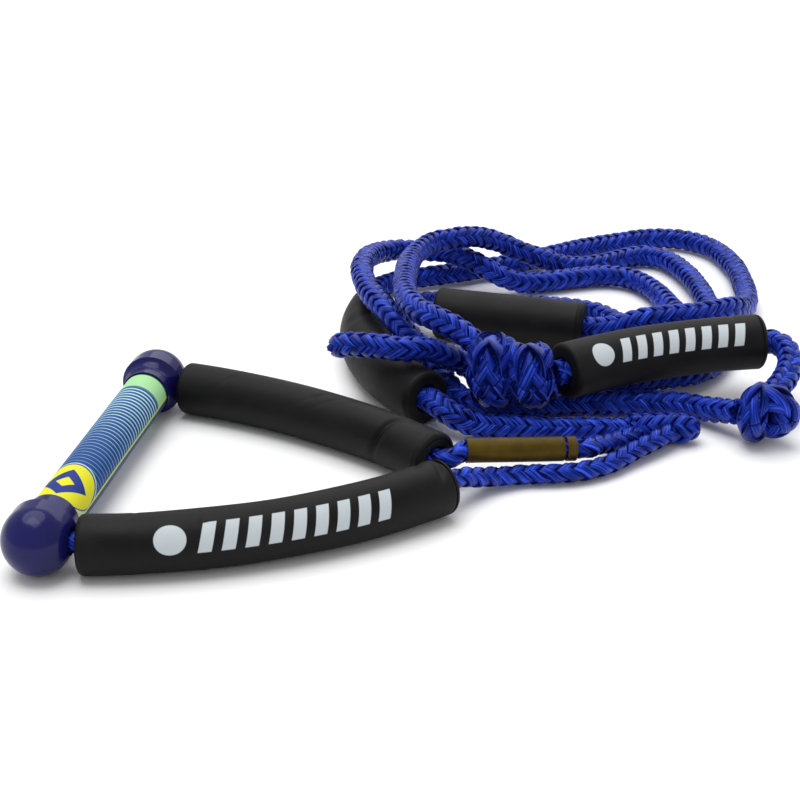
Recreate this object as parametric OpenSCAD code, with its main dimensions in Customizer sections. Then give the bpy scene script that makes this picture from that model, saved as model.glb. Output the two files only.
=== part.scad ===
// Tow rope handle: a padded bar with ball ends, a two-leg bridle with floats,
// and a floating mainline laid in loose turns behind it.
// Millimetres, +Z up. The floor is z = 0, the bar lies along Y and the bridle
// runs towards +X. The origin is under the middle of the handle and its legs.

/* [Handle] */
// Length over the two ball ends
handle_len = 254; // [252:1:256]
// Diameter of the ball ends
cap_d = 39; // [38:0.5:39]
// Diameter of the padded grip
grip_d = 28; // [26:0.5:28]
// Length of the padded grip
grip_len = 168; // [160:1:168]
// Outside diameter of the bar inside the grip
bar_d = 20; // [19:0.5:20]
// Wall of the bar
bar_wall = 2; // [1:0.5:2]

/* [Bridle] */
// Diameter of the bridle rope
bridle_d = 12.5; // [11:0.5:12.5]
// Outside diameter of the two leg floats
leg_float_d = 33; // [31:0.5:33]
// Bore of the two leg floats
leg_bore_d = 17.5; // [17.5:0.5:20]
// Outside diameter of the label sleeve and its ring
sleeve_d = 15; // [15:0.5:16]

/* [Mainline] */
// Diameter of the mainline
mainline_d = 17; // [15:0.5:17]
// Outside diameter of the three mainline floats
line_float_d = 36; // [34:0.5:36]
// Bore of the three mainline floats
line_bore_d = 18; // [18:0.5:20]
// Diameter of the large knot at the end of the front float
loop_knot_d = 48; // [40:1:48]
// Diameter of the stopper knot
stopper_knot_d = 42; // [38:1:44]

/* [Hidden] */
$fn = 64;
eps = 0.01;

// Handle. The bar's axis stands at bar_x and bar_z, and lies along Y.
bar_x = -98;
cap_r = cap_d / 2;
bar_z = cap_r;
ball_y = handle_len / 2 - cap_r;
bar_len = 186;
collar_r = 15;
collar_start = grip_len / 2;
flare_start = 91;
flare_end = 98;
socket_end = bar_len / 2 + 2;
cavity_r = 13;
// The collar flares into the ball on an arc that leaves the collar smoothly.
flare_rise = cap_r - collar_r;
flare_run = flare_end - flare_start;
flare_r = (flare_run * flare_run + flare_rise * flare_rise) / (2 * flare_rise);

// Legs: each float lies on an arc, [centre x, centre y, radius, start, end].
near_leg = [-125, 202, 310, -81, -42];
far_leg = [-145, -280, 390, 80, 51.7];
leg_float_z = leg_float_d / 2;
leg_rope_z = 18;
rope_hole_r = 8;
rope_hole_z = 18.7;
hole_overrun = 4;
// The rope's length inside each float's outer end that belongs to its tail
tail_tuck = 12;

// Mainline floats
left_arc = [193, 241, 174.5, 175, 229.2];
front_arc = [384, -121, 330, 132, 107];
back_ends = [[64, 258, 18], [170, 245, 18]];
float_z = line_float_d / 2;
front_z = 36;
back_middle = (back_ends[0] + back_ends[1]) / 2;

// Label sleeve and ring, on the straight stretch of the far tail
sleeve_ends = [[113, 33.5, 20.5], [169, 52.5, 17]];
ring_gap = 1.5;
ring_len = 6;
sleeve_bore_d = 13.6;

// Knots and splice
loop_knot_at = [[122, 113, 38], [138, 112, 38]];
stopper_knot_at = [[287, 116, 22], [290, 116, 22]];
splice_ends = [[208, 102, 10], [250, 110, 10]];
splice_r = 10;
splice_neck_r = 8.5;
splice_taper = 8;
splice_tip = 3;

// Routes of the rope, as points on its centreline.
near_tail_route = [[105, -5, 18], [113, 5, 17], [121, 15, 13], [131, 25, 9], [146, 34, 7],
    [163, 38, 7], [180, 44, 7], [196, 56, 7], [209, 72, 8], [220, 85, 9], [231, 98, 10]];
far_tail_route = [[98, 25, 18], [106, 27, 18.5], [113, 33.5, 20.5], [127, 38.25, 19.625],
    [141, 43, 18.75], [155, 47.75, 17.875], [169, 52.5, 17], [183, 57.25, 16], [188, 66, 14],
    [194, 76, 11], [201, 86, 9], [212, 96, 9]];
first_start = [[208, 102, 10], [200, 101, 9], [188, 99, 9], [170, 96, 9], [150, 94, 9],
    [130, 93, 9], [113, 92, 10], [98, 92, 15]];
first_loop = [[17, 270, 17], [12, 286, 13], [9, 305, 9], [10, 325, 9], [20, 340, 9], [38, 352, 9],
    [60, 366, 9], [85, 382, 9], [106, 396, 9], [126, 413, 9], [150, 436, 9], [180, 457, 9],
    [209, 474, 9], [236, 476, 9], [260, 459, 9], [276, 421, 9], [283, 378, 9], [285, 338, 11],
    [280, 300, 19], [269, 277, 27], [250, 261, 28], [228, 252, 28], [207, 246, 26],
    [187, 243, 20]];
second_route = [[57, 259, 17.5], [47, 263.5, 15.5], [39.5, 272, 12.5], [38, 283.5, 10], [42, 293.5, 9],
    [51, 300.5, 9], [63, 302.5, 9], [90, 303, 9], [120, 304.5, 9], [150, 305, 9], [172, 300, 9],
    [187, 288, 9], [195, 273, 9], [200, 258, 9], [208.5, 246, 9], [221, 240.5, 9], [234, 243.5, 9],
    [242.5, 254, 9], [245, 271, 9], [240, 292, 9], [233, 311, 9], [225, 333, 9], [214, 357, 9], [199, 375, 9], [180, 380, 9], [160, 373, 9],
    [140, 362, 9], [118, 351, 10], [99, 345, 17], [80, 350, 25], [64, 357, 28], [48, 361, 28],
    [34, 361, 28], [20, 354, 30], [9, 337, 33], [5, 313, 38], [6, 288, 43], [9, 262, 46],
    [15, 238, 47], [23, 215, 47], [34, 195, 46], [47, 178, 42], [61, 166, 34], [75, 155, 25],
    [87, 142, 15], [98, 132, 9], [112, 127, 9], [134, 130, 9], [158, 134, 9], [182, 139, 9],
    [205, 143, 9], [225, 145, 9], [241, 143, 10], [254, 137, 11], [265, 129, 14], [273, 122, 17]];
front_link = [[296, 195, 36], [303, 189, 35], [306, 177, 32], [304, 161, 28], [298, 147, 25],
    [293, 136, 23]];
last_route = [[110, 126, 48], [98, 134, 54], [82, 141, 59], [67, 153, 60], [56, 175, 59],
    [49, 205, 56], [45, 235, 53], [42, 264, 50], [41, 290, 47], [44, 312, 46], [51, 330, 46],
    [61, 338, 46], [75, 350, 45], [88, 362, 40], [101, 371, 33], [116, 374, 26], [131, 381, 19],
    [149, 391, 11], [170, 403, 9], [189, 420, 9], [204, 430, 9], [220, 427, 9], [235, 406, 9],
    [248, 371, 9], [256, 333, 9], [262, 296, 9], [266, 264, 9], [266, 238, 9], [259, 214, 9],
    [245, 198, 9], [225, 187, 9], [205, 176, 9], [185, 166, 9], [165, 158, 9], [145, 152, 9],
    [126, 151, 10], [111, 150, 17], [99, 146, 27], [87, 136, 37], [74, 125, 45], [60, 118, 47],
    [46, 120, 47], [34, 123, 46], [24, 127, 44], [16, 131, 40]];

// Inside each cap the bridle rope turns from the bar's axis to the leg.
turn_r = 12;
cap_route_steps = 6;
// How far from the middle of the bar the rope's points inside it stand
inside_reach = 60;

// Rings of a rope tube stand at most this far apart, and have this many sides.
ring_step = 24;
rope_sides = 10;
// Points along a rope inside a curved float
leg_steps = 9;
float_steps = 10;
// Angles by which the mainline's arc runs past its left float, and stops short
// of the two knots at the ends of its front float
left_overrun = 2;
front_start_gap = 1;
front_end_gap = 0.5;

// Points on an arc at height z, from angle a to angle b, in n steps
function arc_points(arc, a, b, z, n) =
    [for (i = [0:n])
        let (t = a + (b - a) * i / n)
        [arc[0] + arc[2] * cos(t), arc[1] + arc[2] * sin(t), z]];

// The list in reverse order
function reversed(list) = [for (i = [len(list) - 1:-1:0]) list[i]];

// The angle that a length takes on an arc
function arc_angle(arc, length) = length / arc[2] * 180 / PI;

// One cubic piece of the smooth curve through b and c, at t from 0 to 1
function curve_at(a, b, c, d, t) =
    let (ta = sqrt(norm(b - a)),
         tb = sqrt(norm(c - b)),
         tc = sqrt(norm(d - c)),
         m1 = (c - b) + tb * ((b - a) / ta - (c - a) / (ta + tb)),
         m2 = (c - b) + tb * ((d - c) / tc - (d - b) / (tb + tc)))
    (2 * t * t * t - 3 * t * t + 1) * b + (t * t * t - 2 * t * t + t) * m1
        + (3 * t * t - 2 * t * t * t) * c + (t * t * t - t * t) * m2;

// The smooth curve through a route's points
function smooth(route) =
    let (last = len(route) - 1,
         p = concat([2 * route[0] - route[1]], route, [2 * route[last] - route[last - 1]]))
    concat([for (i = [1:last])
                let (n = ceil(norm(p[i + 1] - p[i]) / ring_step))
                for (k = [0:n - 1]) curve_at(p[i - 1], p[i], p[i + 1], p[i + 2], k / n)],
           [route[last]]);

function unit(v) = v / norm(v);

// Direction of a line of points at point i
function heading(p, i) = unit(p[min(i + 1, len(p) - 1)] - p[max(i - 1, 0)]);

// Rings round a line of points, carried along it without twist
function rings(p, r, i, side) =
    i == len(p) ? [] :
    let (d = heading(p, i),
         u = unit(side - d * (side * d)),
         v = cross(d, u))
    concat([for (k = [0:rope_sides - 1])
                let (t = 360 * k / rope_sides)
                p[i] + r * cos(t) * u + r * sin(t) * v],
           rings(p, r, i + 1, u));

// A closed tube of radius r along a line of points
module rope_tube(p, r) {
    n = len(p);
    s = rope_sides;
    first = heading(p, 0);
    points = rings(p, r, 0, unit(cross(first, [0.1, 0.2, 1])));
    walls = [for (i = [0:n - 2]) for (k = [0:s - 1])
        for (f = [[i * s + k, (i + 1) * s + k, (i + 1) * s + (k + 1) % s],
                  [i * s + k, (i + 1) * s + (k + 1) % s, i * s + (k + 1) % s]]) f];
    start_face = [for (k = [0:s - 1]) k];
    end_face = [for (k = [s - 1:-1:0]) (n - 1) * s + k];
    polyhedron(points, concat(walls, [start_face, end_face]));
}

// A straight tube between two points, along its own axis
module tube_between(a, b, r_out, r_in) {
    run = b - a;
    translate(a)
        rotate([0, acos(run[2] / norm(run)), atan2(run[1], run[0])])
            difference() {
                cylinder(r = r_out, h = norm(run));
                translate([0, 0, -1]) cylinder(r = r_in, h = norm(run) + 2);
            }
}

// A float bent along an arc, resting at height z
module arc_float(arc, z, r_out, r_in) {
    translate([arc[0], arc[1], z])
        rotate([0, 0, min(arc[3], arc[4])])
            rotate_extrude(angle = abs(arc[4] - arc[3]), $fn = 180)
                translate([arc[2], 0])
                    difference() {
                        circle(r = r_out);
                        circle(r = r_in);
                    }
}

// The handle's own frame: local +Z runs out along the bar on the given side
module along_bar(side) {
    translate([bar_x, 0, bar_z]) rotate([-90 * side, 0, 0]) children();
}

module handle_bar() {
    color("silver")
        along_bar(1)
            difference() {
                cylinder(d = bar_d, h = bar_len, center = true);
                cylinder(d = bar_d - 2 * bar_wall, h = bar_len + 2, center = true);
            }
}

module grip_pad() {
    color("lightblue")
        along_bar(1)
            difference() {
                cylinder(d = grip_d, h = grip_len, center = true);
                cylinder(d = bar_d, h = grip_len + 2, center = true);
            }
}

// Outer shape of an end cap: collar, flare, straight band and ball
module cap_outside() {
    translate([0, 0, collar_start]) cylinder(r = collar_r, h = flare_start - collar_start + eps);
    translate([0, 0, flare_start])
        rotate_extrude()
            difference() {
                square([cap_r, flare_run]);
                translate([collar_r + flare_r, 0]) circle(r = flare_r);
            }
    translate([0, 0, flare_end - eps]) cylinder(r = cap_r, h = ball_y - flare_end + eps);
    translate([0, 0, ball_y]) sphere(r = cap_r);
}

// The side hole through which the rope leaves a cap, in line with its leg
module rope_hole(arc) {
    foot = arc_points(arc, arc[3], arc[3], rope_hole_z, 1)[0];
    translate(foot)
        rotate([0, 0, arc[3] - 90 * sign(arc[3])])
            rotate([0, -90, 0]) cylinder(r = rope_hole_r, h = foot[0] - bar_x + hole_overrun);
}

module end_cap(side, arc) {
    color("navy")
        difference() {
            along_bar(side) cap_outside();
            along_bar(side) {
                translate([0, 0, collar_start - eps])
                    cylinder(d = bar_d, h = socket_end - collar_start + eps);
                translate([0, 0, socket_end - eps])
                    cylinder(r = cavity_r, h = ball_y - socket_end + eps);
                translate([0, 0, ball_y]) sphere(r = cavity_r);
            }
            rope_hole(arc);
        }
}

module near_end_cap() {
    end_cap(-1, near_leg);
}

module far_end_cap() {
    end_cap(1, far_leg);
}

// The rope inside one cap: a quarter turn from the leg to the bar's axis
function cap_turn(side, arc) =
    let (start = arc_points(arc, arc[3], arc[3], leg_rope_z, 1)[0],
         lead = abs(cos(arc[3]) / sin(arc[3])),
         corner_y = abs(start[1]) + (start[0] - bar_x) * lead)
    [for (i = [0:cap_route_steps])
        let (t = 90 * i / cap_route_steps)
        [bar_x + turn_r * (1 - sin(t)),
         side * (corner_y - turn_r * (1 - cos(t)) - turn_r * (1 - sin(t)) * lead),
         rope_hole_z + (bar_z - rope_hole_z) * i / cap_route_steps]];

// One leg of the bridle, from inside the float's outer end to the bar
function leg_route(side, arc) =
    let (tuck = arc_angle(arc, tail_tuck) * sign(arc[4] - arc[3]))
    concat(reversed(arc_points(arc, arc[3], arc[4] - tuck, leg_rope_z, leg_steps)), cap_turn(side, arc));

module bridle_rope() {
    inside = [for (y = [-inside_reach, 0, inside_reach]) [bar_x, y, bar_z]];
    route = concat(leg_route(-1, near_leg), inside, reversed(leg_route(1, far_leg)));
    color("mediumblue") rope_tube(smooth(route), bridle_d / 2);
}

module near_leg_float() {
    color("dimgray") arc_float(near_leg, leg_float_z, leg_float_d / 2, leg_bore_d / 2);
}

module far_leg_float() {
    color("dimgray") arc_float(far_leg, leg_float_z, leg_float_d / 2, leg_bore_d / 2);
}

// The place where a leg's tail begins, inside the outer end of its float
function tuck_point(arc) =
    let (tuck = arc_angle(arc, tail_tuck) * sign(arc[4] - arc[3]))
    arc_points(arc, arc[4] - tuck, arc[4] - tuck, leg_rope_z, 1)[0];

module near_bridle_tail() {
    route = concat([tuck_point(near_leg)], near_tail_route);
    color("mediumblue") rope_tube(smooth(route), bridle_d / 2);
}

module far_bridle_tail() {
    route = concat([tuck_point(far_leg)], far_tail_route);
    color("mediumblue") rope_tube(smooth(route), bridle_d / 2);
}

module label_sleeve() {
    color("darkgoldenrod")
        tube_between(sleeve_ends[0], sleeve_ends[1], sleeve_d / 2, sleeve_bore_d / 2);
}

module label_ring() {
    along = unit(sleeve_ends[1] - sleeve_ends[0]);
    ring_start = sleeve_ends[1] + ring_gap * along;
    color("darkgoldenrod")
        tube_between(ring_start, ring_start + ring_len * along, sleeve_d / 2, sleeve_bore_d / 2);
}

// The splice where both tails are tucked into the mainline
module junction_splice() {
    run = splice_ends[1] - splice_ends[0];
    length = norm(run);
    color("mediumblue")
        translate(splice_ends[0])
            rotate([0, 90, atan2(run[1], run[0])])
                rotate_extrude()
                    polygon([[0, 0], [splice_neck_r, 0], [splice_r, splice_taper],
                             [splice_r, length - splice_taper - splice_tip],
                             [splice_neck_r, length - splice_tip],
                             [splice_neck_r - splice_tip, length], [0, length]]);
}

// From the splice, through the left float and round to the middle of the back float
module mainline_first_turns() {
    left = reversed(arc_points(left_arc, left_arc[3] - left_overrun, left_arc[4] + left_overrun,
                               float_z, float_steps));
    route = concat(first_start, left, first_loop, [back_ends[1], back_middle]);
    color("mediumblue") rope_tube(smooth(route), mainline_d / 2);
}

module left_float() {
    color("dimgray") arc_float(left_arc, float_z, line_float_d / 2, line_bore_d / 2);
}

module back_float() {
    color("dimgray") tube_between(back_ends[0], back_ends[1], line_float_d / 2, line_bore_d / 2);
}

// From the middle of the back float to the stopper knot
module mainline_second_turns() {
    route = concat([back_middle, back_ends[0]], second_route);
    color("mediumblue") rope_tube(smooth(route), mainline_d / 2);
}

// A knot's body: a barrel with round ends, from one point to another
module knot_body(ends, r) {
    run = ends[1] - ends[0];
    length = norm(run);
    translate(ends[0])
        rotate([0, 90, atan2(run[1], run[0])])
            rotate_extrude()
                intersection() {
                    union() {
                        circle(r = r);
                        translate([0, length]) circle(r = r);
                        square([r, length]);
                    }
                    translate([0, -r]) square([r, length + 2 * r]);
                }
}

module stopper_knot() {
    color("mediumblue") knot_body(stopper_knot_at, stopper_knot_d / 2);
}

// From the stopper knot through the front float to the large knot
module mainline_front_run() {
    front = arc_points(front_arc, front_arc[3] + front_start_gap, front_arc[4] - front_end_gap,
                       front_z, float_steps);
    color("mediumblue") rope_tube(smooth(concat(front, front_link)), mainline_d / 2);
}

module front_float() {
    color("dimgray") arc_float(front_arc, front_z, line_float_d / 2, line_bore_d / 2);
}

module loop_knot() {
    color("mediumblue") knot_body(loop_knot_at, loop_knot_d / 2);
}

// From the large knot, once round the turns, to the sealed free end
module mainline_last_turns() {
    color("mediumblue") rope_tube(smooth(last_route), mainline_d / 2);
}

handle_bar();
grip_pad();
near_end_cap();
far_end_cap();
bridle_rope();
near_leg_float();
far_leg_float();
near_bridle_tail();
far_bridle_tail();
label_sleeve();
label_ring();
junction_splice();
mainline_first_turns();
left_float();
back_float();
mainline_second_turns();
stopper_knot();
mainline_front_run();
front_float();
loop_knot();
mainline_last_turns();
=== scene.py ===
import bpy
import math
import numpy as np
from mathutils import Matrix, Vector


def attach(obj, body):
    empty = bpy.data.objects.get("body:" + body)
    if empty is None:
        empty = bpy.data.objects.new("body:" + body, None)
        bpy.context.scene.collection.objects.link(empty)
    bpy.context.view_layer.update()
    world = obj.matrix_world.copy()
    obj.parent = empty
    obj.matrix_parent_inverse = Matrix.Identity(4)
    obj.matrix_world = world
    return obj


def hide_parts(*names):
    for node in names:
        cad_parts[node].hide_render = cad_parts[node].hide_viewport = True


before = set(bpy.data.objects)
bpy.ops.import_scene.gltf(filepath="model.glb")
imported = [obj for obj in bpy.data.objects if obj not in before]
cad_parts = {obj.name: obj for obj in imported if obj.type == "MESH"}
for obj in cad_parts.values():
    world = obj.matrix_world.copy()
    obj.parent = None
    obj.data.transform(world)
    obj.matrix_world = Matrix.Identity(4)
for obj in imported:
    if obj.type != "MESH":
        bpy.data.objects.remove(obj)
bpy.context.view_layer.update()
MM = 0.001

# ---------------------------------------------------------------- camera

LENS_MM = 74.2
SENSOR_MM = 36.0
CAMERA_AT = Vector((0.215, -0.833, 0.448))
CAMERA_TILT = math.radians(24.37)
CAMERA_TURN = math.radians(9.25)


def make_camera():
    data = bpy.data.cameras.new("camera")
    data.lens = LENS_MM
    data.sensor_width = SENSOR_MM
    camera = bpy.data.objects.new("camera", data)
    bpy.context.scene.collection.objects.link(camera)
    look = Vector((-math.sin(CAMERA_TURN) * math.cos(CAMERA_TILT),
                   math.cos(CAMERA_TURN) * math.cos(CAMERA_TILT),
                   -math.sin(CAMERA_TILT)))
    camera.location = CAMERA_AT
    camera.rotation_euler = look.to_track_quat("-Z", "Y").to_euler()
    bpy.context.scene.camera = camera
    bpy.context.scene.view_settings.view_transform = "Standard"


make_camera()

# ---------------------------------------------------------------- routes

# The rope's centrelines, in metres, as the CAD lays them.
NEAR_TAIL = np.array([
    [105, -5, 18], [113, 5, 17], [121, 15, 13], [131, 25, 9], [146, 34, 7], [163, 38, 7], [180, 44, 7],
    [196, 56, 7], [209, 72, 8], [220, 85, 9], [231, 98, 10]]) * MM
FAR_TAIL = np.array([
    [98, 25, 18], [106, 27, 18.5], [113, 33.5, 20.5], [127, 38.25, 19.625], [141, 43, 18.75],
    [155, 47.75, 17.875], [169, 52.5, 17], [183, 57.25, 16], [188, 66, 14], [194, 76, 11],
    [201, 86, 9], [212, 96, 9]]) * MM
FIRST_START = np.array([
    [208, 102, 10], [200, 101, 9], [188, 99, 9], [170, 96, 9], [150, 94, 9], [130, 93, 9],
    [113, 92, 10], [98, 92, 15]]) * MM
FIRST_LOOP = np.array([
    [17, 270, 17], [12, 286, 13], [9, 305, 9], [10, 325, 9], [20, 340, 9], [38, 352, 9], [60, 366, 9],
    [85, 382, 9], [106, 396, 9], [126, 413, 9], [150, 436, 9], [180, 457, 9], [209, 474, 9],
    [236, 476, 9], [260, 459, 9], [276, 421, 9], [283, 378, 9], [285, 338, 11], [280, 300, 19],
    [269, 277, 27], [250, 261, 28], [228, 252, 28], [207, 246, 26], [187, 243, 20]]) * MM
SECOND_ROUTE = np.array([
    [57, 259, 17.5], [47, 263.5, 15.5], [39.5, 272, 12.5], [38, 283.5, 10], [42, 293.5, 9],
    [51, 300.5, 9], [63, 302.5, 9], [90, 303, 9], [120, 304.5, 9], [150, 305, 9], [172, 300, 9],
    [187, 288, 9], [195, 273, 9], [200, 258, 9], [208.5, 246, 9], [221, 240.5, 9], [234, 243.5, 9],
    [242.5, 254, 9], [245, 271, 9], [240, 292, 9], [233, 311, 9], [225, 333, 9], [214, 357, 9],
    [199, 375, 9], [180, 380, 9], [160, 373, 9], [140, 362, 9], [118, 351, 10], [99, 345, 17],
    [80, 350, 25], [64, 357, 28], [48, 361, 28], [34, 361, 28], [20, 354, 30], [9, 337, 33],
    [5, 313, 38], [6, 288, 43], [9, 262, 46], [15, 238, 47], [23, 215, 47], [34, 195, 46],
    [47, 178, 42], [61, 166, 34], [75, 155, 25], [87, 142, 15], [98, 132, 9], [112, 127, 9],
    [134, 130, 9], [158, 134, 9], [182, 139, 9], [205, 143, 9], [225, 145, 9], [241, 143, 10],
    [254, 137, 11], [265, 129, 14], [273, 122, 17]]) * MM
FRONT_LINK = np.array([
    [296, 195, 36], [303, 189, 35], [306, 177, 32], [304, 161, 28], [298, 147, 25],
    [293, 136, 23]]) * MM
LAST_ROUTE = np.array([
    [110, 126, 48], [98, 134, 54], [82, 141, 59], [67, 153, 60], [56, 175, 59], [49, 205, 56],
    [45, 235, 53], [42, 264, 50], [41, 290, 47], [44, 312, 46], [51, 330, 46], [61, 338, 46],
    [75, 350, 45], [88, 362, 40], [101, 371, 33], [116, 374, 26], [131, 381, 19], [149, 391, 11],
    [170, 403, 9], [189, 420, 9], [204, 430, 9], [220, 427, 9], [235, 406, 9], [248, 371, 9],
    [256, 333, 9], [262, 296, 9], [266, 264, 9], [266, 238, 9], [259, 214, 9], [245, 198, 9],
    [225, 187, 9], [205, 176, 9], [185, 166, 9], [165, 158, 9], [145, 152, 9], [126, 151, 10],
    [111, 150, 17], [99, 146, 27], [87, 136, 37], [74, 125, 45], [60, 118, 47], [46, 120, 47],
    [34, 123, 46], [24, 127, 44], [16, 131, 40]]) * MM

# Arcs: centre x, centre y, radius in metres, start and end angle in degrees
NEAR_LEG = (-0.125, 0.202, 0.31, -81, -42)
FAR_LEG = (-0.145, -0.28, 0.39, 80, 51.7)
LEFT_ARC = (0.193, 0.241, 0.1745, 175, 229.2)
FRONT_ARC = (0.384, -0.121, 0.33, 132, 107)
BACK_ENDS = np.array([[0.064, 0.258, 0.018], [0.170, 0.245, 0.018]])
BACK_MIDDLE = BACK_ENDS.mean(axis=0)
BAR_X = -0.098
BAR_Z = 0.0195
LEG_ROPE_Z = 0.018
LEG_FLOAT_Z = 0.0165
FLOAT_Z = 0.018
FRONT_Z = 0.036
BRIDLE_D = 0.0125
MAINLINE_D = 0.017
# How far a bridle tail starts inside its leg float
TAIL_TUCK = 0.012
ROPE_STEP = 0.0022
ROPE_ARC_STEPS = 10
BRIDLE_ARC_STEPS = 9
SPLINE_STEPS = 24


def arc_points(arc, a, b, z, n):
    """n + 1 points on an arc at height z, from angle a to angle b."""
    t = np.radians(np.linspace(a, b, n + 1))
    x, y = arc[0] + arc[2] * np.cos(t), arc[1] + arc[2] * np.sin(t)
    return np.stack([x, y, np.full(n + 1, z)], axis=1)


def run_along(path):
    """The distance along a path of each of its points."""
    return np.concatenate([[0], np.cumsum(np.linalg.norm(np.diff(path, axis=0), axis=1))])


def smooth(route, step=ROPE_STEP):
    """The smooth curve through a route's points, at even steps."""
    p = np.vstack([2 * route[0] - route[1], route, 2 * route[-1] - route[-2]])
    dense = []
    for i in range(1, len(p) - 2):
        a, b, c, d = p[i - 1:i + 3]
        ta, tb, tc = (math.sqrt(np.linalg.norm(v)) for v in (b - a, c - b, d - c))
        m1 = (c - b) + tb * ((b - a) / ta - (c - a) / (ta + tb))
        m2 = (c - b) + tb * ((d - c) / tc - (d - b) / (tb + tc))
        t = np.linspace(0, 1, SPLINE_STEPS, endpoint=False)[:, None]
        dense.append((2 * t**3 - 3 * t**2 + 1) * b + (t**3 - 2 * t**2 + t) * m1
                     + (3 * t**2 - 2 * t**3) * c + (t**3 - t**2) * m2)
    dense = np.vstack(dense + [route[-1:]])
    run = run_along(dense)
    n = int(round(run[-1] / step))
    at = np.linspace(0, run[-1], n + 1)
    return np.stack([np.interp(at, run, dense[:, k]) for k in range(3)], axis=1)


def length_of(path):
    return float(np.linalg.norm(np.diff(path, axis=0), axis=1).sum())


def unit(v):
    return v / np.linalg.norm(v, axis=-1, keepdims=True)


# Not parallel to any rope's first tangent
ALMOST_UP = [0.1, 0.2, 1.0]


def frames(path, first_side=None):
    """Tangent and two normals at each point, carried along the path without twist."""
    tangent = unit(np.gradient(path, axis=0))
    side = unit(np.cross(tangent[0], ALMOST_UP)) if first_side is None else first_side
    u = np.empty_like(path)
    for i, t in enumerate(tangent):
        side = side - t * np.dot(side, t)
        side = side / np.linalg.norm(side)
        u[i] = side
    return tangent, u, np.cross(tangent, u)


# ---------------------------------------------------------------- mesh helpers

def make_mesh(name, verts, faces, uvs):
    """A smooth-shaded object from arrays. uvs holds one pair for each vertex."""
    mesh = bpy.data.meshes.new(name)
    mesh.from_pydata(verts.tolist(), [], faces)
    layer = mesh.uv_layers.new(name="run")
    loops = np.empty(len(mesh.loops), dtype=np.int32)
    mesh.loops.foreach_get("vertex_index", loops)
    layer.data.foreach_set("uv", uvs[loops].astype(np.float32).ravel())
    mesh.polygons.foreach_set("use_smooth", [True] * len(mesh.polygons))
    mesh.update()
    obj = bpy.data.objects.new(name, mesh)
    bpy.context.scene.collection.objects.link(obj)
    return obj


def grid_faces(rows, cols, close_rows):
    """Quads of a grid of rows x cols vertices, closed round its columns and, if asked, its rows."""
    i = np.arange(rows if close_rows else rows - 1)[:, None]
    j = np.arange(cols)[None, :]
    i2 = (i + 1) % rows
    j2 = (j + 1) % cols
    corners = [i * cols + j, i * cols + j2, i2 * cols + j2, i2 * cols + j]
    return np.stack(corners, axis=-1).reshape(-1, 4)


class Parts:
    """Collects grids of vertices that become one object."""

    def __init__(self):
        self.verts, self.uvs, self.faces, self.count = [], [], [], 0

    def add(self, grid, uv, close_rows=False):
        """Adds one tube of rings. Its ends are capped unless its last ring joins its first."""
        rows, cols = grid.shape[:2]
        self.verts.append(grid.reshape(-1, 3))
        self.uvs.append(uv.reshape(-1, 2))
        self.faces.extend((grid_faces(rows, cols, close_rows) + self.count).tolist())
        if not close_rows:
            self.faces.append((np.arange(cols)[::-1] + self.count).tolist())
            self.faces.append((np.arange(cols) + self.count + (rows - 1) * cols).tolist())
        self.count += rows * cols

    def build(self, name):
        return make_mesh(name, np.vstack(self.verts), self.faces, np.vstack(self.uvs))


# ---------------------------------------------------------------- braid

# Yarns of each rope: how many run each way, metres for one turn, half thickness,
# and how far a yarn rises and dips as it passes over and under the others.
MAINLINE_BRAID = {
    "each_way": 6, "pitch": 0.047, "half_thick": 0.0019, "wave": 0.0012, "half_wide": 0.0031}
BRIDLE_BRAID = {
    "each_way": 4, "pitch": 0.040, "half_thick": 0.0016, "wave": 0.0010, "half_wide": 0.0034}
WRAP_BRAID = {
    "each_way": 6, "pitch": 0.084, "half_thick": 0.0022, "wave": 0.0012, "half_wide": 0.0036}
YARN_SIDES = 8
CORE_SIDES = 12
CORE_GAP = 0.0003
# How much a yarn's height and width vary along the rope
SLACK = 0.035
SWELL = 0.06
# Yarn coordinates: how much of a yarn's own unit it covers, and units along for each metre
YARN_COVER = 0.45
CORE_COVER = 0.4
ALONG_SCALE = 20


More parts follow.
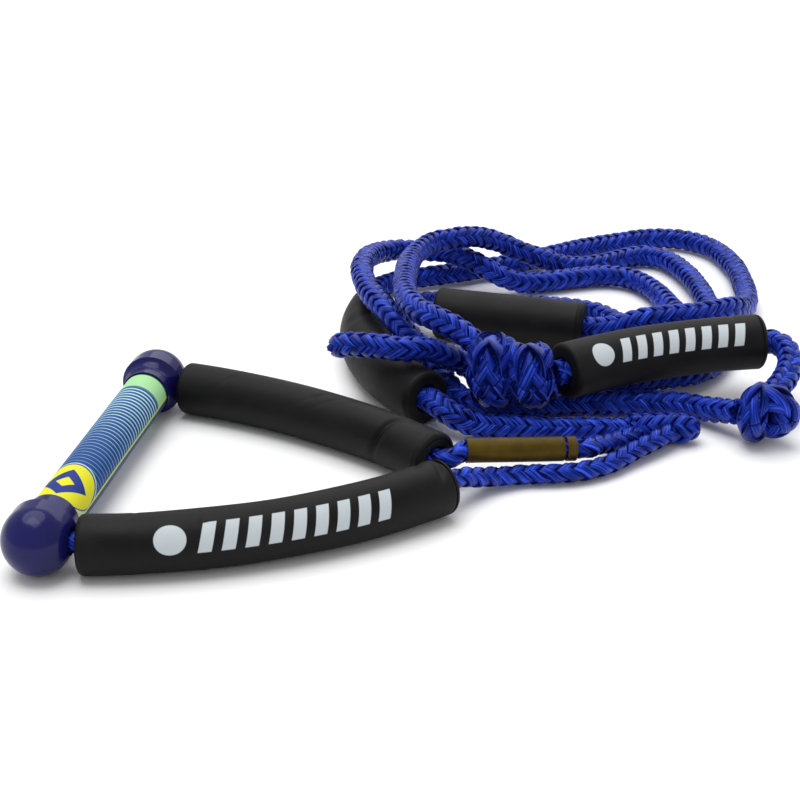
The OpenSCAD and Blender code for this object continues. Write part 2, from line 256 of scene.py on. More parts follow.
def add_braid(parts, path, radius, braid, squeeze=(1.0, 1.0), seed=1, first_side=None, taper=None):
    """Adds braided yarns along a path.

    squeeze widens the rope along its two normals, and taper thins it from point to point.
    """
    rng = np.random.default_rng(seed)
    tangent, u, v = frames(path, first_side)
    thin = np.ones(len(path)) if taper is None else taper
    run = run_along(path)
    each = braid["each_way"]
    middle = radius - braid["wave"] - braid["half_thick"]
    columns = each / 2
    around = np.linspace(0, 2 * math.pi, YARN_SIDES, endpoint=False)
    for way in (1, -1):
        for k in range(each):
            turn = 2 * math.pi * (k / each + way * run / braid["pitch"])
            slack = 1 + SLACK * np.sin(run * rng.uniform(90, 160) + rng.uniform(0, 6))
            rise = (middle + way * braid["wave"] * np.cos(columns * turn)) * slack * thin
            out = np.cos(turn)[:, None] * u * squeeze[0] + np.sin(turn)[:, None] * v * squeeze[1]
            centre = path + rise[:, None] * out
            along = unit(np.gradient(centre, axis=0))
            wide = unit(np.cross(along, out))
            lift = np.cross(wide, along)
            swell = 1 + SWELL * np.sin(run * rng.uniform(60, 120) + rng.uniform(0, 6))
            a = braid["half_wide"] * swell * thin
            b = braid["half_thick"] * thin
            grid = (centre[:, None]
                    + (a[:, None] * np.cos(around))[:, :, None] * wide[:, None]
                    + (b[:, None] * np.sin(around))[:, :, None] * lift[:, None])
            across = (k if way > 0 else k + each) + 0.5 + YARN_COVER * np.cos(around)[None, :]
            parts.add(grid, np.stack(np.broadcast_arrays(across, run[:, None] * ALONG_SCALE), axis=-1))
    core = ((middle - CORE_GAP) * thin)[:, None, None]
    ring = np.linspace(0, 2 * math.pi, CORE_SIDES, endpoint=False)
    grid = path[:, None] + core * (np.cos(ring)[None, :, None] * u[:, None] * squeeze[0]
                                   + np.sin(ring)[None, :, None] * v[:, None] * squeeze[1])
    across = CORE_COVER * np.cos(ring)[None, :]
    parts.add(grid, np.stack(np.broadcast_arrays(across, run[:, None] * ALONG_SCALE), axis=-1))


def rope(name, path, diameter, braid, seed):
    parts = Parts()
    add_braid(parts, path, diameter / 2, braid, seed=seed)
    return parts.build(name)


# ---------------------------------------------------------------- materials

def new_material(name):
    material = bpy.data.materials.new(name)
    material.use_nodes = True
    tree = material.node_tree
    return material, tree, tree.nodes["Principled BSDF"]


def node(tree, kind, inputs=(), **settings):
    """A shader node. inputs maps a socket to a value or to another node's output."""
    n = tree.nodes.new(kind)
    for key, value in settings.items():
        setattr(n, key, value)
    for key, value in dict(inputs).items():
        if isinstance(value, bpy.types.NodeSocket):
            tree.links.new(value, n.inputs[key])
        else:
            n.inputs[key].default_value = value
    return n


def maths(tree, operation, a, b=0.0):
    return node(tree, "ShaderNodeMath", {0: a, 1: b}, operation=operation).outputs[0]


def mix(tree, factor, a, b):
    return node(tree, "ShaderNodeMix", {0: factor, 6: a, 7: b}, data_type="RGBA").outputs[2]


def rgb(r, g, b):
    return (r, g, b, 1.0)


def noise(tree, scale, detail, vector, roughness=0.55):
    inputs = {"Scale": scale, "Detail": detail, "Roughness": roughness, "Vector": vector}
    return node(tree, "ShaderNodeTexNoise", inputs).outputs["Fac"]


def object_coords(tree):
    return node(tree, "ShaderNodeTexCoord").outputs["Object"]


def smoothed(tree, value, low, high, to_low=0.0, to_high=1.0):
    """A smooth step from to_low to to_high as value goes from low to high."""
    inputs = {
        "Value": value, "From Min": low, "From Max": high, "To Min": to_low, "To Max": to_high}
    return node(tree, "ShaderNodeMapRange", inputs, interpolation_type="SMOOTHSTEP").outputs[0]


def bump(tree, shader, height, strength, distance, normal=None):
    """Sets the shader's normal from a height, on top of an earlier bump's normal if given."""
    inputs = {"Height": height, "Strength": strength, "Distance": distance}
    if normal is not None:
        inputs["Normal"] = normal
    n = node(tree, "ShaderNodeBump", inputs)
    tree.links.new(n.outputs[0], shader.inputs["Normal"])
    return n.outputs[0]


BLUE = rgb(0.0050, 0.012, 0.19)
# Painted glint colour for the rope's lighter filament lines
BLUE_PAINTED_GLINT = rgb(0.040, 0.110, 0.90)
# Darker yarn tone, also used as the painted shade at the yarns' edges
BLUE_DARK_AND_SHADE = rgb(0.0012, 0.0022, 0.034)
YARN_SHINE = rgb(0.07, 0.18, 1.0)
FOAM_DARK = rgb(0.0028, 0.0026, 0.0027)
FOAM_PALE = rgb(0.0075, 0.0070, 0.0073)
MARK_SILVER = rgb(0.50, 0.55, 0.58)


def rope_material(name):
    """Braided filament yarn: fine lines along each yarn, lighter ones that are painted glints and
    darker ones among them, and painted shade on each yarn's edges where it goes under its neighbours."""
    material, tree, shader = new_material(name)
    uv = node(tree, "ShaderNodeUVMap", uv_map="run").outputs[0]
    stretch = node(tree, "ShaderNodeMapping", {"Vector": uv, "Scale": (10.0, 3.0, 1.0)}).outputs[0]
    fine = noise(tree, 1.0, 3.0, stretch)
    strands = node(tree, "ShaderNodeMapping", {"Vector": uv, "Scale": (3.5, 1.2, 1.0)}).outputs[0]
    coarse = noise(tree, 1.0, 2.0, strands)
    patches = noise(tree, 60.0, 2.0, object_coords(tree))
    # The lighter filament lines, scattered at random along the yarns, are painted glints
    tone = mix(tree, smoothed(tree, fine, 0.45, 0.70), BLUE, BLUE_PAINTED_GLINT)
    tone = mix(tree, smoothed(tree, coarse, 0.50, 0.34), tone, BLUE_DARK_AND_SHADE)
    tone = mix(tree, smoothed(tree, patches, 0.58, 0.75, 0.0, 0.45), tone, BLUE_DARK_AND_SHADE)
    across = node(tree, "ShaderNodeSeparateXYZ", {0: uv}).outputs[0]
    from_middle = maths(tree, "ABSOLUTE", maths(tree, "SUBTRACT", maths(tree, "FRACT", across), 0.5))
    # Painted shade: each yarn's edges darken where it goes under its neighbours
    tone = mix(tree, smoothed(tree, from_middle, 0.28, 0.45, 0.0, 0.8), tone, BLUE_DARK_AND_SHADE)
    tree.links.new(tone, shader.inputs["Base Color"])
    tree.links.new(smoothed(tree, fine, 0.3, 0.7, 0.22, 0.40), shader.inputs["Roughness"])
    shader.inputs["Specular Tint"].default_value = YARN_SHINE
    gloss = smoothed(tree, from_middle, 0.22, 0.42, 0.70, 0.0)
    tree.links.new(gloss, shader.inputs["Specular IOR Level"])
    first = bump(tree, shader, coarse, 0.7, 0.0010)
    bump(tree, shader, fine, 0.9, 0.0006, first)
    return material


def foam_material(name, marks=None):
    """Black closed-cell foam with a soft skin. marks places the silver bars on a float."""
    material, tree, shader = new_material(name)
    place = object_coords(tree)
    grain = noise(tree, 900.0, 3.0, place)
    cloud = noise(tree, 28.0, 4.0, place)
    tone = mix(tree, smoothed(tree, cloud, 0.35, 0.7), FOAM_DARK, FOAM_PALE)
    rough = smoothed(tree, cloud, 0.3, 0.7, 0.48, 0.60)
    if marks:
        mask = mark_mask(tree, **marks)
        scuffs = smoothed(tree, noise(tree, 260.0, 5.0, place), 0.20, 0.28)
        mask = maths(tree, "MULTIPLY", mask, scuffs)
        tone = mix(tree, mask, tone, MARK_SILVER)
        rough = maths(tree, "SUBTRACT", rough, maths(tree, "MULTIPLY", mask, 0.12))
    tree.links.new(tone, shader.inputs["Base Color"])
    tree.links.new(rough, shader.inputs["Roughness"])
    shader.inputs["Specular IOR Level"].default_value = 0.16
    wrinkle = noise(tree, 140.0, 5.0, place, 0.7)
    first = bump(tree, shader, cloud, 0.5, 0.0012)
    second = bump(tree, shader, wrinkle, 0.25, 0.0005, first)
    bump(tree, shader, grain, 0.25, 0.00025, second)
    return material


# Lower than any distance, for a band that is really a disc
BELOW_ALL = -1.0


def distance(tree, a, b):
    squares = maths(tree, "ADD", maths(tree, "POWER", a, 2.0), maths(tree, "POWER", b, 2.0))
    return maths(tree, "SQRT", squares)


def band(tree, value, low, high, edge=0.0003):
    """1 where value lies between low and high, with a soft edge."""
    up = smoothed(tree, value, low - edge, low + edge)
    down = smoothed(tree, value, high + edge, high - edge)
    return maths(tree, "MULTIPLY", up, down)


BAR_PITCH = 0.012
BAR_EDGES = (0.04, 0.62)
# The dot's middle is this many heights before the first bar
DOT_BEFORE = 0.9


def mark_mask(tree, start, end, height, middle, lean):
    """A plain dot and a row of plain slanted bars, in metres along and round a float."""
    uv = node(tree, "ShaderNodeUVMap", uv_map="run").outputs[0]
    split = node(tree, "ShaderNodeSeparateXYZ", {0: uv})
    along, around = split.outputs[0], split.outputs[1]
    up = maths(tree, "SUBTRACT", around, middle)
    slanted = maths(tree, "SUBTRACT", along, maths(tree, "MULTIPLY", up, lean))
    rows = band(tree, up, -height / 2, height / 2)
    past_start = maths(tree, "SUBTRACT", slanted, start)
    phase = maths(tree, "FRACT", maths(tree, "DIVIDE", past_start, BAR_PITCH))
    bars = band(tree, phase, *BAR_EDGES, 0.02)
    bars = maths(tree, "MULTIPLY", bars, band(tree, slanted, start, end))
    bars = maths(tree, "MULTIPLY", bars, rows)
    across = maths(tree, "SUBTRACT", along, start - height * DOT_BEFORE)
    dot = band(tree, distance(tree, across, up), BELOW_ALL, height / 2)
    return maths(tree, "MAXIMUM", bars, dot)


def cap_material():
    """Glossy moulded plastic with a faint haze."""
    material, tree, shader = new_material("cap_gloss")
    place = object_coords(tree)
    haze = noise(tree, 35.0, 3.0, place)
    tone = mix(tree, smoothed(tree, haze, 0.3, 0.7),
               rgb(0.0065, 0.0060, 0.070), rgb(0.0085, 0.0080, 0.092))
    tree.links.new(tone, shader.inputs["Base Color"])
    tree.links.new(smoothed(tree, haze, 0.3, 0.7, 0.24, 0.31), shader.inputs["Roughness"])
    shader.inputs["Specular Tint"].default_value = rgb(0.70, 0.74, 1.0)
    shader.inputs["Specular IOR Level"].default_value = 0.10
    shader.inputs["Coat Weight"].default_value = 0.30
    shader.inputs["Coat Roughness"].default_value = 0.07
    bump(tree, shader, noise(tree, 120.0, 2.0, place), 0.08, 0.0003)
    return material


RING_PITCH = 0.0039
# Puts the rings' phase above zero over the whole grip
RING_OFFSET = 0.2
MINT_START = 0.0640
MINT_EDGE = 0.0826
BADGE_Y = -0.066
BADGE_TURN = 1.45
BADGE_R = 0.0205
YELLOW_START = -0.0620
GRIP_R = 0.014


def grip_material():
    """Printed foam: a mint band, thin blue rings that thicken, and a round badge."""
    material, tree, shader = new_material("grip_print")
    place = object_coords(tree)
    split = node(tree, "ShaderNodeSeparateXYZ", {0: place})
    side = maths(tree, "SUBTRACT", split.outputs[0], BAR_X)
    up = maths(tree, "SUBTRACT", split.outputs[2], BAR_Z)
    turn = maths(tree, "ARCTAN2", up, side)
    y = split.outputs[1]
    drift = maths(tree, "SUBTRACT", noise(tree, 45.0, 2.0, place), 0.5)
    wobble = maths(tree, "MULTIPLY", drift, 0.0022)
    wavy = maths(tree, "ADD", y, maths(tree, "MULTIPLY", wobble, band(tree, y, 0.0, 0.030, 0.012)))
    shifted = maths(tree, "ADD", wavy, RING_OFFSET)
    phase = maths(tree, "FRACT", maths(tree, "DIVIDE", shifted, RING_PITCH))
    blue_part = smoothed(tree, y, -0.045, MINT_START, 0.90, 0.64)
    rings = smoothed(tree, maths(tree, "SUBTRACT", blue_part, phase), -0.05, 0.05)
    first_edge = smoothed(tree, phase, 0.0, 0.08)
    rings = maths(tree, "MULTIPLY", rings, first_edge)
    pale = mix(tree, smoothed(tree, y, -0.05, 0.06), rgb(0.16, 0.34, 0.36), rgb(0.40, 0.66, 0.62))
    tone = mix(tree, rings, pale, rgb(0.006, 0.045, 0.24))
    # Mint band at the far end, edged by two thin dark lines
    tone = mix(tree, band(tree, y, MINT_START, MINT_START + 0.0012), tone, rgb(0.02, 0.07, 0.22))
    mint = smoothed(tree, y, MINT_START + 0.0010, MINT_START + 0.0016)
    tone = mix(tree, mint, tone, rgb(0.34, 0.66, 0.31))
    tone = mix(tree, smoothed(tree, y, MINT_EDGE, MINT_EDGE + 0.0004), tone, rgb(0.03, 0.10, 0.10))
    # Badge: rings round a yellow disc with a plain blue diamond
    dy = maths(tree, "SUBTRACT", y, BADGE_Y)
    dt = maths(tree, "MULTIPLY", maths(tree, "SUBTRACT", turn, BADGE_TURN), GRIP_R)
    away = distance(tree, dy, dt)
    near_end = smoothed(tree, y, YELLOW_START, YELLOW_START - 0.0005)
    tone = mix(tree, near_end, tone, rgb(0.62, 0.70, 0.03))
    tone = mix(tree, band(tree, away, BELOW_ALL, BADGE_R), tone, rgb(0.70, 0.68, 0.015))
    dark_ring = band(tree, away, BADGE_R, BADGE_R + 0.0008)
    tone = mix(tree, dark_ring, tone, rgb(0.008, 0.035, 0.19))
    pale_ring = band(tree, away, BADGE_R + 0.0012, BADGE_R + 0.0022)
    tone = mix(tree, pale_ring, tone, rgb(0.45, 0.68, 0.60))
    diamond = maths(tree, "ADD", maths(tree, "ABSOLUTE", dy), maths(tree, "ABSOLUTE", dt))
    tone = mix(tree, band(tree, diamond, 0.0055, 0.0145), tone, rgb(0.008, 0.028, 0.22))
    # Yellow seam, and a dark strip under it, on the side towards the bridle
    tone = mix(tree, band(tree, turn, -1.3, -0.12, 0.01), tone, rgb(0.015, 0.045, 0.14))
    tone = mix(tree, band(tree, turn, -0.12, -0.03, 0.01), tone, rgb(0.60, 0.68, 0.05))
    tree.links.new(tone, shader.inputs["Base Color"])
    grain = noise(tree, 700.0, 3.0, place)
    tree.links.new(smoothed(tree, grain, 0.3, 0.7, 0.50, 0.62), shader.inputs["Roughness"])
    shader.inputs["Specular IOR Level"].default_value = 0.2
    first = bump(tree, shader, rings, 0.12, 0.0002)
    bump(tree, shader, grain, 0.3, 0.0002, first)
    return material


def sleeve_material():
    """Dull gold shrink sleeve with a faint weave."""
    material, tree, shader = new_material("sleeve_satin")
    place = object_coords(tree)
    weave = node(tree, "ShaderNodeTexWave",
                 {"Vector": place, "Scale": 420.0, "Distortion": 1.5, "Detail": 2.0}).outputs["Fac"]
    cloud = noise(tree, 50.0, 3.0, place)
    tone = mix(tree, smoothed(tree, cloud, 0.3, 0.7),
               rgb(0.045, 0.028, 0.003), rgb(0.090, 0.060, 0.008))
    tone = mix(tree, smoothed(tree, weave, 0.2, 0.8, 0.0, 0.25), tone, rgb(0.022, 0.014, 0.004))
    tree.links.new(tone, shader.inputs["Base Color"])
    shader.inputs["Roughness"].default_value = 0.38
    shader.inputs["Specular IOR Level"].default_value = 0.25
    shader.inputs["Specular Tint"].default_value = rgb(1.0, 0.7, 0.25)
    bump(tree, shader, weave, 0.3, 0.0002)
    return material


def metal_material():
    """Drawn tube with fine lines along it."""
    material, tree, shader = new_material("drawn_bar")
    shader.inputs["Metallic"].default_value = 1.0
    stretch = {"Vector": object_coords(tree), "Scale": (900.0, 12.0, 900.0)}
    fine = noise(tree, 1.0, 3.0, node(tree, "ShaderNodeMapping", stretch).outputs[0])
    tone = mix(tree, fine, rgb(0.55, 0.56, 0.58), rgb(0.74, 0.75, 0.77))
    tree.links.new(tone, shader.inputs["Base Color"])
    tree.links.new(smoothed(tree, fine, 0.3, 0.7, 0.25, 0.4), shader.inputs["Roughness"])
    return material


mainline_look = rope_material("mainline_yarn")
bridle_look = rope_material("bridle_yarn")


def dress(obj, material, body="handle"):
    """Gives a piece its material and the body that it rides on."""
    obj.data.materials.clear()
    obj.data.materials.append(material)
    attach(obj, body)
    return obj


# ---------------------------------------------------------------- ropes

def tuck_angle(arc):
    """The angle, in degrees, that a bridle tail reaches back along its leg float's arc."""
    return math.degrees(TAIL_TUCK / arc[2]) * (1 if arc[4] > arc[3] else -1)


def tuck_point(arc):
    at = arc[4] - tuck_angle(arc)
    return arc_points(arc, at, at, LEG_ROPE_Z, 0)


# Degrees of its float's arc that the rope keeps to past each end of the float
LEFT_RUN_ON = 2
FRONT_RUN_ON = (1, 0.5)
left_line = arc_points(LEFT_ARC, LEFT_ARC[3] - LEFT_RUN_ON, LEFT_ARC[4] + LEFT_RUN_ON,
                       FLOAT_Z, ROPE_ARC_STEPS)[::-1]
front_line = arc_points(FRONT_ARC, FRONT_ARC[3] + FRONT_RUN_ON[0], FRONT_ARC[4] - FRONT_RUN_ON[1],
                        FRONT_Z, ROPE_ARC_STEPS)
near_tail_path = smooth(np.vstack([tuck_point(NEAR_LEG), NEAR_TAIL]))
far_tail_path = smooth(np.vstack([tuck_point(FAR_LEG), FAR_TAIL]))
first_path = smooth(np.vstack([
    FIRST_START, left_line, FIRST_LOOP, BACK_ENDS[1:], BACK_MIDDLE[None]]))
second_path = smooth(np.vstack([BACK_MIDDLE[None], BACK_ENDS[:1], SECOND_ROUTE]))
front_path = smooth(np.vstack([front_line, FRONT_LINK]))
last_path = smooth(LAST_ROUTE)


def stand_in(obj, node_name, look, body="handle"):
    """Puts a finished piece in the place of a CAD node."""
    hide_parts(node_name)
    return dress(obj, look, body)


def bridle_part(node_name, path, seed):
    obj = rope(node_name + "_braid", path, BRIDLE_D, BRIDLE_BRAID, seed)
    return stand_in(obj, node_name, bridle_look)


def mainline_part(node_name, path, seed):
    obj = rope(node_name + "_braid", path, MAINLINE_D, MAINLINE_BRAID, seed)
    return stand_in(obj, node_name, mainline_look)


near_tail = bridle_part("near_bridle_tail", near_tail_path, 1)
far_tail = bridle_part("far_bridle_tail", far_tail_path, 2)
first_turns = mainline_part("mainline_first_turns", first_path, 3)
second_turns = mainline_part("mainline_second_turns", second_path, 4)
front_run = mainline_part("mainline_front_run", front_path, 5)
last_turns = mainline_part("mainline_last_turns", last_path, 6)

IN_THE_BAR = np.array([
    [-84.0, -105.3, 18.5], [-90.8, -104.2, 19.0], [-96.4, -99.6, 19.4], [-98, -93, 19.5],
    [-98, 0, 19.5], [-98, 93, 19.5], [-96.4, 99.6, 19.4], [-90.8, 104.2, 19.0],
    [-84.0, 105.3, 18.5]]) * MM
near_end = NEAR_LEG[4] - tuck_angle(NEAR_LEG)
far_end = FAR_LEG[4] - tuck_angle(FAR_LEG)
bridle_line = np.vstack([
    arc_points(NEAR_LEG, near_end, NEAR_LEG[3], LEG_ROPE_Z, BRIDLE_ARC_STEPS),
    IN_THE_BAR,
    arc_points(FAR_LEG, FAR_LEG[3], far_end, LEG_ROPE_Z, BRIDLE_ARC_STEPS)])
bridle_part("bridle_rope", smooth(bridle_line), 7)

# ---------------------------------------------------------------- knots and splice

LOOP_KNOT_AT = np.array([[122, 113, 38], [138, 112, 38]]) * MM
STOPPER_KNOT_AT = np.array([288.5, 116, 22]) * MM
WRAP_POINTS = 73


def add_wrap(parts, centre, axis, radius, wide, thick, seed):
    """One turn of rope drawn tight round an axis, pressed wide and flat."""
    axis = unit(np.array(axis, dtype=float))
    side = unit(np.cross(axis, [0.0, 0.0, 1.0]))
    up = np.cross(side, axis)
    t = np.linspace(0, 2 * math.pi, WRAP_POINTS)[:, None]
    path = centre + radius * (np.cos(t) * side + np.sin(t) * up)
    # The pitch is set so that the yarns meet where the turn closes
    around = length_of(path) * WRAP_BRAID["each_way"]
    pitch = around / round(around / WRAP_BRAID["pitch"])
    half_wide = WRAP_BRAID["half_wide"] * (wide + 1) / 2
    braid = dict(WRAP_BRAID, pitch=pitch, half_wide=half_wide)
    add_braid(parts, path, MAINLINE_D / 2, braid, (wide, thick), seed, axis)


# Each wrap: its middle from the knot's, its axis, radius, how wide and thick it is pressed, seed.
# The large knot is two fat wraps side by side with a smaller one between them.
LOOP_WRAPS = [
    ((-0.0100, 0.001, 0.001), (1, -0.06, 0.10), 0.0142, 1.95, 1.10, 11),
    ((0.0145, -0.001, 0.0), (1, 0.10, 0.16), 0.0118, 1.95, 1.10, 12),
    ((0.0025, 0.0, 0.002), (1, 0.30, -0.30), 0.0095, 1.30, 1.00, 16)]
# The right knot is two wraps that cross
STOPPER_WRAPS = [
    ((-0.004, 0, -0.001), (1, -0.35, -0.10), 0.0112, 1.15, 1.0, 14),
    ((0.003, 0, 0), (0.30, 1, 0.35), 0.0112, 1.15, 1.0, 15)]


def make_knot(node_name, middle, wraps):
    parts = Parts()
    for offset, axis, radius, wide, thick, seed in wraps:
        add_wrap(parts, middle + np.array(offset), axis, radius, wide, thick, seed)
    obj = parts.build(node_name + "_braid")
    return stand_in(obj, node_name, mainline_look)


loop_knot = make_knot("loop_knot", LOOP_KNOT_AT.mean(axis=0), LOOP_WRAPS)
stopper_knot = make_knot("stopper_knot", STOPPER_KNOT_AT, STOPPER_WRAPS)

SPLICE_ENDS = np.array([[208, 102, 10], [250, 110, 10]]) * MM
SPLICE_R = 0.010
SPLICE_POINTS = 6
SPLICE_STEP = 0.0009
# The splice thins to this share of its radius over its last stretch
SPLICE_TIP = 0.12
SPLICE_TAPER = 0.014


def make_splice():
    path = smooth(np.linspace(SPLICE_ENDS[0], SPLICE_ENDS[1], SPLICE_POINTS), SPLICE_STEP)
    left = np.linspace(length_of(path), 0, len(path))
    rounded = np.sqrt(1 - (1 - np.clip(left / SPLICE_TAPER, 0, 1)) ** 2)
    taper = SPLICE_TIP + (1 - SPLICE_TIP) * rounded
    parts = Parts()
    add_braid(parts, path, SPLICE_R, MAINLINE_BRAID, seed=13, taper=taper)
    obj = parts.build("junction_splice_braid")
    return stand_in(obj, "junction_splice", mainline_look)


splice = make_splice()

# ---------------------------------------------------------------- floats and grip

FLOAT_SIDES = 72
GRIP_SIDES = 96
SLEEVE_SIDES = 48
# Length of each step along the outer wall, and the fewest steps there
WALL_STEP = 0.0010
MIN_WALL_RINGS = 24
BORE_STEPS = 6
EDGE_STEPS = 6
FACE_STEPS = 5


def tube_profile(length, outer, bore, edge):
    """Distance along and radius of each ring of a bored tube, and its first and last wall rings."""
    steps = max(MIN_WALL_RINGS, int(length / WALL_STEP))
    beta = np.linspace(0, math.pi / 2, EDGE_STEPS + 1)
    flat = outer - edge - bore
    profile = [(length * (1 - k / BORE_STEPS), bore) for k in range(BORE_STEPS + 1)]
    profile += [(0.0, bore + flat * k / FACE_STEPS) for k in range(1, FACE_STEPS)]
    profile += [(edge * (1 - math.cos(b)), outer - edge * (1 - math.sin(b))) for b in beta]
    first_outer = len(profile) - 1
    profile += [(edge + (length - 2 * edge) * k / steps, outer) for k in range(1, steps)]
    last_outer = len(profile)
    profile += [(length - edge * (1 - math.sin(b)), outer - edge * (1 - math.cos(b)))
                for b in beta[::-1]]
    profile += [(length, bore + flat * k / FACE_STEPS) for k in range(FACE_STEPS - 1, 0, -1)]
    return np.array(profile), first_outer, last_outer


def skin(name, path, outer, bore, edge, shape, sides):
    """A tube with a bore and rounded end edges along a path.

    shape(s, turn) moves the outer wall, or is None for an even one.
    """
    profile, first_outer, last_outer = tube_profile(length_of(path), outer, bore, edge)
    run = run_along(path)
    tangent = unit(np.gradient(path, axis=0))
    centre = np.stack([np.interp(profile[:, 0], run, path[:, k]) for k in range(3)], axis=1)
    along = unit(np.stack([np.interp(profile[:, 0], run, tangent[:, k]) for k in range(3)], axis=1))
    # Turn 0 points to the tube's right as seen from its start, and pi / 2 straight up
    up = unit(np.array([0, 0, 1.0]) - along * along[:, 2:3])
    right = np.cross(along, up)
    # The rings start underneath, where the seam in their coordinates is hidden
    turn = np.linspace(-math.pi / 2, 1.5 * math.pi, sides, endpoint=False)
    radius = np.repeat(profile[:, 1][:, None], sides, axis=1)
    if shape is not None:
        wall = slice(first_outer, last_outer + 1)
        radius[wall] += shape(profile[wall, 0][:, None], turn[None, :])
    out = (np.cos(turn)[None, :, None] * right[:, None]
           + np.sin(turn)[None, :, None] * up[:, None])
    grid = centre[:, None] + radius[:, :, None] * out
    uv = np.stack(np.broadcast_arrays(profile[:, 0][:, None], turn[None, :] * outer), axis=-1)
    parts = Parts()
    parts.add(grid, uv, close_rows=True)
    return parts.build(name)


def crease(s, turn, at, facing, depth, width, spread, lean):
    """A dent across a float at a place along and round it."""
    off = (turn - facing + math.pi) % (2 * math.pi) - math.pi
    return -depth * np.exp(-((s - at - lean * off) / width) ** 2) * np.exp(-(off / spread) ** 2)


WAVES = 5


def waviness(s, turn, size, seed):
    rng = np.random.default_rng(seed)
    total = 0
    for _ in range(WAVES):
        total = total + np.sin(
            s * rng.uniform(15, 90) + turn * rng.integers(1, 4) + rng.uniform(0, 6))
    return total * size / WAVES


def worn(size, seed, creases=()):
    """The shape of a wall that is slightly uneven and has creases."""
    def shape(s, turn):
        total = waviness(s, turn, size, seed)
        for dent in creases:
            total = total + crease(s, turn, *dent)
        return total
    return shape


# Each crease: metres along, facing in radians, depth, width, spread in radians, lean
NEAR_LEG_CREASES = [
    (0.028, 1.7, 0.0010, 0.0018, 0.30, 0.006),
    (0.066, 1.1, 0.0007, 0.0016, 0.28, -0.004),
    (0.203, 1.2, 0.0019, 0.0022, 0.60, 0.006),
    (0.196, 1.9, 0.0010, 0.0020, 0.45, 0.008)]
FAR_LEG_CREASES = [
    (0.157, 0.6, 0.0028, 0.0024, 0.80, 0.004),
    (0.163, 1.6, 0.0014, 0.0026, 0.55, 0.010),
    (0.100, 1.3, 0.0011, 0.0018, 0.35, 0.016),
    (0.110, 1.2, 0.0009, 0.0018, 0.35, 0.016),
    (0.036, 1.2, 0.0009, 0.0018, 0.30, 0.010)]
LEFT_CREASES = [
    (0.075, 1.9, 0.0016, 0.0040, 0.60, 0.006),
    (0.110, 1.8, 0.0008, 0.0050, 0.60, -0.006)]
FRONT_CREASES = [(0.125, 1.9, 0.0004, 0.003, 0.5, 0.004)]

FLOAT_EDGE = 0.0032
FLOAT_POINTS = 90
LEG_FLOAT_R = 0.0165
LEG_BORE_R = 0.00875
LINE_FLOAT_R = 0.018
LINE_BORE_R = 0.009
plain_foam = foam_material("foam")
near_foam = foam_material("foam_near_marks", {
    "start": 0.063, "end": 0.1672, "height": 0.0165, "middle": 0.55 * LEG_FLOAT_R, "lean": 0.25})
front_foam = foam_material("foam_front_marks", {
    "start": 0.036, "end": 0.1282, "height": 0.0160, "middle": 0.75 * LINE_FLOAT_R, "lean": 0.25})


def make_float(node_name, path, outer, bore, shape, look):
    obj = skin(node_name + "_foam", path, outer, bore, FLOAT_EDGE, shape, FLOAT_SIDES)
    stand_in(obj, node_name, look, node_name + "_body")
    return obj


def leg_float(node_name, arc, shape, look):
    path = arc_points(arc, arc[3], arc[4], LEG_FLOAT_Z, FLOAT_POINTS)
    return make_float(node_name, path, LEG_FLOAT_R, LEG_BORE_R, shape, look)


def line_float(node_name, path, shape, look):
    return make_float(node_name, path, LINE_FLOAT_R, LINE_BORE_R, shape, look)


left_float_line = arc_points(LEFT_ARC, LEFT_ARC[3], LEFT_ARC[4], FLOAT_Z, FLOAT_POINTS)[::-1]
back_float_line = np.linspace(BACK_ENDS[0], BACK_ENDS[1], FLOAT_POINTS)
front_float_line = arc_points(FRONT_ARC, FRONT_ARC[3], FRONT_ARC[4], FRONT_Z, FLOAT_POINTS)

leg_float("near_leg_float", NEAR_LEG, worn(0.00035, 21, NEAR_LEG_CREASES), near_foam)
leg_float("far_leg_float", FAR_LEG, worn(0.00035, 22, FAR_LEG_CREASES), plain_foam)
left_float = line_float("left_float", left_float_line, worn(0.0004, 23, LEFT_CREASES), plain_foam)
back_float = line_float("back_float", back_float_line, worn(0.0003, 25), plain_foam)
front_float = line_float("front_float", front_float_line, worn(0.0003, 24, FRONT_CREASES), front_foam)

BAR_R = 0.010
GRIP_HALF = 0.084
GRIP_EDGE = 0.0008
GRIP_POINTS = 90

grip_path = np.array([
    [BAR_X, y, BAR_Z] for y in np.linspace(-GRIP_HALF, GRIP_HALF, GRIP_POINTS)])
grip = skin("grip_foam_print", grip_path, GRIP_R, BAR_R, GRIP_EDGE, worn(0.00015, 26), GRIP_SIDES)
stand_in(grip, "grip_pad", grip_material())

# ---------------------------------------------------------------- sleeve and ring

SLEEVE_ENDS = np.array([[113, 33.5, 20.5], [169, 52.5, 17]]) * MM
SLEEVE_ALONG = unit(SLEEVE_ENDS[1] - SLEEVE_ENDS[0])
RING_GAP = 0.0015
RING_LENGTH = 0.006
RING_START = SLEEVE_ENDS[1] + RING_GAP * SLEEVE_ALONG
RING_END = RING_START + RING_LENGTH * SLEEVE_ALONG
SLEEVE_R = 0.0075
SLEEVE_BORE_R = 0.0068
SLEEVE_EDGE = 0.0004
SLEEVE_POINTS = 40
RING_POINTS = 12
sleeve_look = sleeve_material()


def shrunk(node_name, path, shape):
    obj = skin(node_name + "_shrunk", path, SLEEVE_R, SLEEVE_BORE_R, SLEEVE_EDGE, shape, SLEEVE_SIDES)
    return stand_in(obj, node_name, sleeve_look)


sleeve_line = np.linspace(SLEEVE_ENDS[0], SLEEVE_ENDS[1], SLEEVE_POINTS)
sleeve = shrunk("label_sleeve", sleeve_line, worn(0.0002, 27))
ring = shrunk("label_ring", np.linspace(RING_START, RING_END, RING_POINTS), None)

# ---------------------------------------------------------------- cap and bar finishes


def finish_node(name, material):
    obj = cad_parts[name]
    obj.data.materials.clear()
    obj.data.materials.append(material)


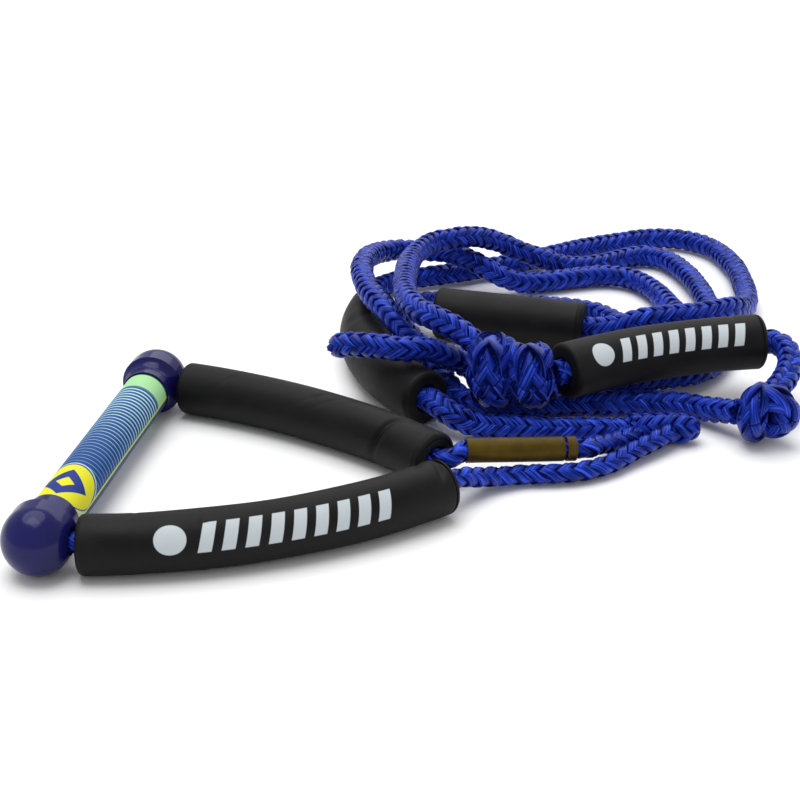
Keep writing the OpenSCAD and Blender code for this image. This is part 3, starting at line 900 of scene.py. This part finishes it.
cap_look = cap_material()
for cap in ("near_end_cap", "far_end_cap"):
    finish_node(cap, cap_look)
finish_node("handle_bar", metal_material())

# ---------------------------------------------------------------- floor and light

FLOOR_HALF = 6.0
# The rope's yarns reach a hair below the CAD's lowest point
FLOOR_DROP = 0.0003


def make_floor():
    mesh = bpy.data.meshes.new("floor")
    r = FLOOR_HALF
    mesh.from_pydata([(-r, -r, 0), (r, -r, 0), (r, r, 0), (-r, r, 0)], [], [(0, 1, 2, 3)])
    floor = bpy.data.objects.new("floor", mesh)
    bpy.context.scene.collection.objects.link(floor)
    floor.location.z = -FLOOR_DROP
    material, _, shader = new_material("floor_pale")
    shader.inputs["Base Color"].default_value = rgb(0.92, 0.92, 0.92)
    shader.inputs["Roughness"].default_value = 0.9
    shader.inputs["Specular IOR Level"].default_value = 0.1
    mesh.materials.append(material)


def make_light(name, at, look_at, size, power):
    data = bpy.data.lights.new(name, "AREA")
    data.shape = "RECTANGLE"
    data.size, data.size_y = size
    data.energy = power
    light = bpy.data.objects.new(name, data)
    bpy.context.scene.collection.objects.link(light)
    light.location = at
    light.rotation_euler = (Vector(look_at) - Vector(at)).to_track_quat("-Z", "Y").to_euler()


def make_sun(strength, spread):
    """A soft sun from nearly overhead. spread is its angle in degrees."""
    data = bpy.data.lights.new("sun", "SUN")
    data.energy = strength
    data.angle = math.radians(spread)
    light = bpy.data.objects.new("sun", data)
    bpy.context.scene.collection.objects.link(light)
    light.rotation_euler = (math.radians(-12), math.radians(-10), 0)


def make_world(strength):
    world = bpy.data.worlds.new("studio")
    world.use_nodes = True
    background = world.node_tree.nodes["Background"]
    background.inputs["Color"].default_value = rgb(1, 1, 1)
    background.inputs["Strength"].default_value = strength
    bpy.context.scene.world = world


OBJECT_MIDDLE = (0.08, 0.12, 0.02)
make_floor()
make_sun(1.7, 55)
make_light("key", (-0.2, -0.3, 1.9), OBJECT_MIDDLE, (1.2, 0.8), 7)
make_light("back", (0.3, 1.9, 1.2), OBJECT_MIDDLE, (2.4, 0.8), 9)
make_world(0.62)
